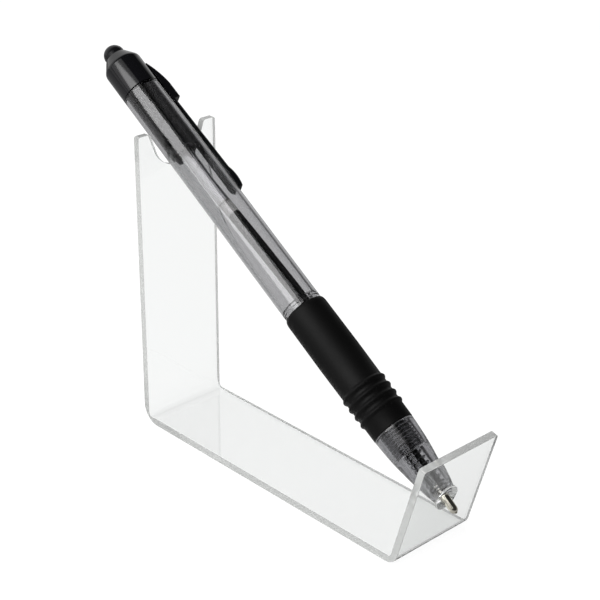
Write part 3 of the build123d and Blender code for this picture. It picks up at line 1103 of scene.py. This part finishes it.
def photo_camera():
    """Sets the camera and returns the direction from the object to it."""
    turn, lift, roll = radians(camera_azimuth), radians(camera_elevation), radians(camera_roll)
    back = Vector((sin(turn) * cos(lift), -cos(turn) * cos(lift), sin(lift)))
    level = Vector((cos(turn), sin(turn), 0))
    upright = back.cross(level)
    right = level * cos(roll) + upright * sin(roll)
    up = upright * cos(roll) - level * sin(roll)
    place = Matrix((right, up, back)).transposed().to_4x4()
    place.translation = camera_aim + back * camera_distance * MM
    bpy.ops.object.camera_add()
    camera = bpy.context.active_object
    camera.matrix_world = place
    camera.data.lens = camera_lens
    camera.data.sensor_width = camera_sensor
    camera.data.clip_start = camera_nearest * MM
    scene.camera = camera
    return back


toward_camera = photo_camera()


def soft_lamp(name, distance, width, length, radiance, seen_through=False):
    """A flat lamp that faces the pen, with its length along the pen and its width across."""
    data = bpy.data.lights.new(name, "AREA")
    data.shape = "RECTANGLE"
    data.size = width * MM
    data.size_y = length * MM
    data.energy = radiance * pi * width * MM * length * MM
    lamp = bpy.data.objects.new(name, data)
    scene.collection.objects.link(lamp)
    facing = (radial(lamp_turn) * lamp_outward + pen_axis * lamp_backward).normalized()
    wide = pen_axis.cross(facing).normalized()
    place = Matrix((wide, facing.cross(wide), facing)).transposed().to_4x4()
    place.translation = pen_point(lamp_station) + facing * distance * MM
    lamp.matrix_world = place
    lamp.visible_camera = False
    lamp.visible_transmission = seen_through


soft_lamp("softbox", distance=650, width=600, length=350, radiance=4.5, seen_through=True)
soft_lamp("softbox_halo", distance=680, width=950, length=500, radiance=0.8)


def sums(tree, operation, *values, clamp=False):
    """A sum of sockets and numbers."""
    node = tree.nodes.new("ShaderNodeMath")
    node.operation = operation
    node.use_clamp = clamp
    for value, target in zip(values, node.inputs):
        feed(tree, value, target)
    return node.outputs["Value"]


def studio():
    """White to the camera and behind the object, dark overhead and beside the camera, with a fill."""
    world = bpy.data.worlds.new("studio")
    scene.world = world
    world.use_nodes = True
    tree = world.node_tree
    tree.nodes.clear()
    path = tree.nodes.new("ShaderNodeLightPath").outputs
    place = tree.nodes.new("ShaderNodeTexCoord").outputs

    def side(direction, start, end, low=0.0, high=1.0):
        """Runs from low to high as the way of a ray turns to a direction."""
        facing = tree.nodes.new("ShaderNodeVectorMath")
        facing.operation = "DOT_PRODUCT"
        facing.inputs[1].default_value = direction
        level = tree.nodes.new("ShaderNodeMapRange")
        level.interpolation_type = "SMOOTHSTEP"
        feed(tree, place["Generated"], facing.inputs[0])
        feed(tree, facing.outputs["Value"], level.inputs["Value"])
        feed(tree, start, level.inputs["From Min"])
        feed(tree, end, level.inputs["From Max"])
        feed(tree, low, level.inputs["To Min"])
        feed(tree, high, level.inputs["To Max"])
        return level.outputs["Result"]

    def choose(factor, first, second):
        """The first value, or the second where the factor is one."""
        node = tree.nodes.new("ShaderNodeMix")
        node.data_type = "FLOAT"
        feed(tree, factor, node.inputs["Factor"])
        feed(tree, first, node.inputs["A"])
        feed(tree, second, node.inputs["B"])
        return node.outputs["Result"]

    overhead = Vector((0, 0, 1))
    rear = Vector((-1, 0, 0))
    away = Vector((-toward_camera.x, -toward_camera.y, 0)).normalized()
    right = Vector((away.y, -away.x, 0))
    backdrop = Vector((-toward_camera.x, -toward_camera.y, toward_camera.z))
    behind = sums(
        tree,
        "MULTIPLY",
        side(away, start=-0.05, end=0.2, high=white_level),
        side(overhead, start=0.2, end=0.4, low=1.0, high=0.0),
    )
    behind = sums(tree, "MULTIPLY", behind, side(right, start=0.3, end=0.6, low=1.0, high=0.3))
    behind = sums(tree, "MAXIMUM", behind, side(backdrop, start=0.86, end=0.94, high=backdrop_level))
    at_rear = side(rear, start=0.35, end=0.65, low=0.024, high=white_level)
    mirrored = sums(tree, "MAXIMUM", at_rear, behind)
    seen_through = sums(
        tree,
        "MULTIPLY",
        side(away, start=-0.25, end=0.35, low=0.064, high=white_level),
        side(right, start=0.3, end=0.55, low=1.0, high=0.12),
    )
    fill = choose(path["Is Glossy Ray"], fill_light, mirrored)
    inside = choose(path["Is Transmission Ray"], fill, seen_through)
    strength = sums(tree, "MAXIMUM", path["Is Camera Ray"], inside)
    light = tree.nodes.new("ShaderNodeBackground")
    light.inputs["Color"].default_value = (1, 1, 1, 1)
    out = tree.nodes.new("ShaderNodeOutputWorld")
    feed(tree, strength, light.inputs["Strength"])
    feed(tree, light.outputs["Background"], out.inputs["Surface"])


studio()


def white_floor():
    """White floor with a soft shadow and a faint shine, dimmer where other pieces mirror it."""
    bpy.ops.object.select_all(action="DESELECT")
    bpy.ops.mesh.primitive_plane_add(size=floor_size * MM, location=(0, 0, -floor_drop * MM))
    floor = bpy.context.active_object
    floor.name = "white_floor"
    material = bpy.data.materials.new("white_floor")
    material.use_nodes = True
    tree = material.node_tree
    tree.nodes.clear()
    path = tree.nodes.new("ShaderNodeLightPath").outputs
    mirrored = sums(tree, "SUBTRACT", path["Is Glossy Ray"], path["Is Transmission Ray"], clamp=True)
    bounced = sums(tree, "MINIMUM", path["Glossy Depth"], 1.0)
    strength = sums(tree, "MULTIPLY_ADD", mirrored, -mirror_dimming, floor_glow)
    strength = sums(tree, "MULTIPLY_ADD", bounced, -bounce_dimming, strength)
    share = sums(tree, "MULTIPLY_ADD", path["Is Diffuse Ray"], -floor_glow_share, floor_glow_share)
    matte = tree.nodes.new("ShaderNodeBsdfDiffuse")
    glow = tree.nodes.new("ShaderNodeEmission")
    gloss = tree.nodes.new("ShaderNodeBsdfGlossy")
    lit = tree.nodes.new("ShaderNodeMixShader")
    shine = tree.nodes.new("ShaderNodeMixShader")
    out = tree.nodes.new("ShaderNodeOutputMaterial")
    feed(tree, floor_colour, matte.inputs["Color"])
    feed(tree, strength, glow.inputs["Strength"])
    feed(tree, floor_roughness, gloss.inputs["Roughness"])
    feed(tree, share, lit.inputs["Fac"])
    feed(tree, matte.outputs["BSDF"], lit.inputs[1])
    feed(tree, glow.outputs["Emission"], lit.inputs[2])
    feed(tree, floor_shine, shine.inputs["Fac"])
    feed(tree, lit.outputs["Shader"], shine.inputs[1])
    feed(tree, gloss.outputs["BSDF"], shine.inputs[2])
    feed(tree, shine.outputs["Shader"], out.inputs["Surface"])
    floor.data.materials.append(material)


white_floor()
